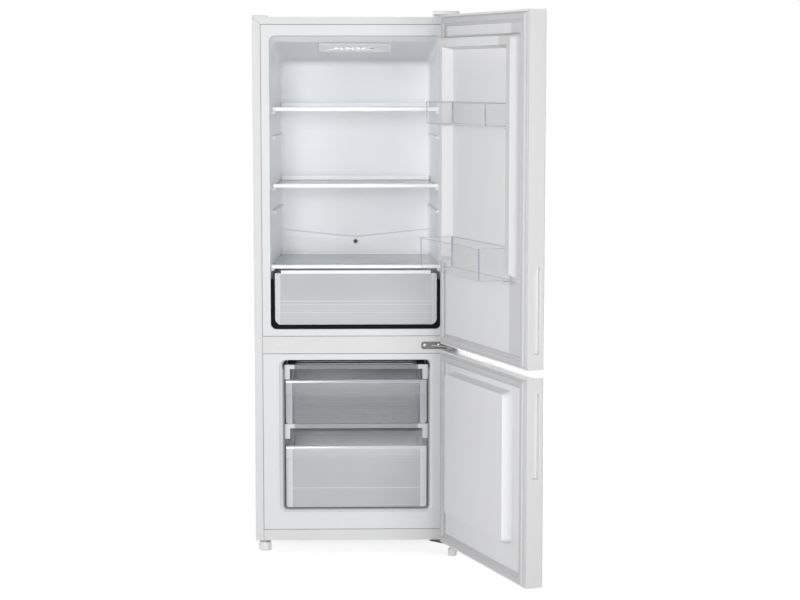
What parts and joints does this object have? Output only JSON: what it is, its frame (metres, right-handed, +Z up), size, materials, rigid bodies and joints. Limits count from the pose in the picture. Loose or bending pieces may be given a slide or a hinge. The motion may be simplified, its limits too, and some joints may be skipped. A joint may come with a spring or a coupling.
{
  "type": "bottom freezer refrigerator",
  "caption": "Tall white refrigerator with a fridge above a freezer, both doors open, glass shelves, pull-out drawers and clear door bins.",
  "frame": {"origin": "centre of the sole of the front foot under the door hinges; the axis of both doors stands on it", "axes": "+Z up from the floor, +Y from the cabinet's front to its back, +X to the cabinet's right side as seen from the front, which is the hinged side"},
  "size_m": [0.7319, 1.0444, 1.464],
  "materials": {
    "white_steel": "smooth gloss paint",
    "zinc_steel": "zinc coated",
    "white_hinge": "satin paint",
    "black_steel": "satin paint",
    "zinc_fastener": "bright zinc",
    "white_liner": "smooth gloss",
    "white_plastic": "satin",
    "grey_plastic": "satin",
    "frosted_plastic": "frosted",
    "clear_plastic": "clear",
    "dark_plastic": "gloss",
    "lamp_lens": "frosted",
    "black_plastic": "grained",
    "clear_glass": "clear",
    "white_gasket": "soft matt",
    "black_gasket": "soft matt",
    "black_rubber": "matt",
    "coated_aluminium": "white coated",
    "copper": "bright copper",
    "insulating_foam": "closed-cell foam"
  },
  "bodies": {
    "cabinet": {"outer_wrap": "white_steel", "mullion_trim": "white_steel", "front_base_rail": "white_steel", "rear_panel": "zinc_steel", "base_pan": "zinc_steel", "compressor_rail": "zinc_steel", "fridge_liner": "white_liner", "freezer_liner": "white_liner", "cabinet_foam": "insulating_foam", "crisper_seal": "black_gasket", "crisper_cover_glass": "clear_glass", "shelf_glass": "clear_glass", "shelf_trims": "white_plastic", "control_housing": "white_plastic", "lamp_lenses": "lamp_lens", "freezer_evaporator": "coated_aluminium", "fridge_evaporator": "coated_aluminium", "evaporator_frames": "white_plastic", "drain_tube": "grey_plastic", "hinge_screws": "zinc_fastener", "top_hinge": "white_hinge", "mid_hinge": "zinc_steel", "bottom_hinge": "black_steel", "top_hinge_cover": "white_plastic", "hinge_hole_plugs": "white_plastic", "hinge_side_foot": "white_plastic", "front_left_foot": "white_plastic", "compressor": "black_steel", "compressor_bolts": "zinc_fastener", "compressor_mounts": "black_rubber", "relay_box": "black_plastic", "drip_tray": "black_plastic", "condenser_tube": "black_steel", "condenser_wires": "black_steel", "condenser_brackets": "black_plastic", "refrigerant_pipes": "copper", "cord_gland": "black_rubber"},
    "fridge_door": {"fridge_door_skin": "white_steel", "fridge_door_grip": "grey_plastic", "fridge_door_caps": "white_plastic", "fridge_door_gasket": "white_gasket", "fridge_door_liner": "white_liner", "fridge_door_foam": "insulating_foam"},
    "freezer_door": {"freezer_door_skin": "white_steel", "freezer_door_grip": "grey_plastic", "freezer_door_caps": "white_plastic", "freezer_door_gasket": "white_gasket", "freezer_door_liner": "white_liner", "freezer_door_foam": "insulating_foam"},
    "upper_bin": {"upper_door_bin": "clear_plastic"},
    "lower_bin": {"lower_door_bin": "clear_plastic"},
    "crisper": {"crisper_front": "frosted_plastic", "crisper_tub": "frosted_plastic"},
    "upper_freezer_drawer": {"upper_freezer_front": "clear_plastic", "upper_freezer_basket": "frosted_plastic"},
    "lower_freezer_drawer": {"lower_freezer_front": "clear_plastic", "lower_freezer_basket": "frosted_plastic"},
    "button": {"control_button": "dark_plastic"},
    "left_roller": {"left_rear_roller": "black_plastic"},
    "right_roller": {"right_rear_roller": "black_plastic"}
  },
  "joints": [
    {"name": "fridge_door_hinge", "type": "hinge", "parent": "cabinet", "child": "fridge_door", "pos_m": [0, 0, 1.017], "axis": [0, 0, 1], "range_deg": [-110, 20]},
    {"name": "freezer_door_hinge", "type": "hinge", "parent": "cabinet", "child": "freezer_door", "pos_m": [0, 0, 0.3], "axis": [0, 0, 1], "range_deg": [-110, 20]},
    {"name": "upper_bin_lift", "type": "slide", "parent": "fridge_door", "child": "upper_bin", "axis": [0, 0, 1], "range_m": [0, 0.025]},
    {"name": "lower_bin_lift", "type": "slide", "parent": "fridge_door", "child": "lower_bin", "axis": [0, 0, 1], "range_m": [0, 0.025]},
    {"name": "crisper_slide", "type": "slide", "parent": "cabinet", "child": "crisper", "axis": [0, -1, 0], "range_m": [0, 0.27]},
    {"name": "upper_freezer_drawer_slide", "type": "slide", "parent": "cabinet", "child": "upper_freezer_drawer", "axis": [0, -1, 0], "range_m": [0, 0.3]},
    {"name": "lower_freezer_drawer_slide", "type": "slide", "parent": "cabinet", "child": "lower_freezer_drawer", "axis": [0, -1, 0], "range_m": [0, 0.22]},
    {"name": "button_press", "type": "slide", "parent": "cabinet", "child": "button", "axis": [0, 0.1322, 0.9912], "range_m": [0, 0.0015], "stiffness_N_per_m": 250, "springref_m": -0.001},
    {"name": "left_roller_spin", "type": "hinge", "parent": "cabinet", "child": "left_roller", "pos_m": [-0.49, 0.478, 0.02], "axis": [1, 0, 0], "continuous": true},
    {"name": "right_roller_spin", "type": "hinge", "parent": "cabinet", "child": "right_roller", "pos_m": [-0.03, 0.478, 0.02], "axis": [1, 0, 0], "continuous": true}
  ]
}
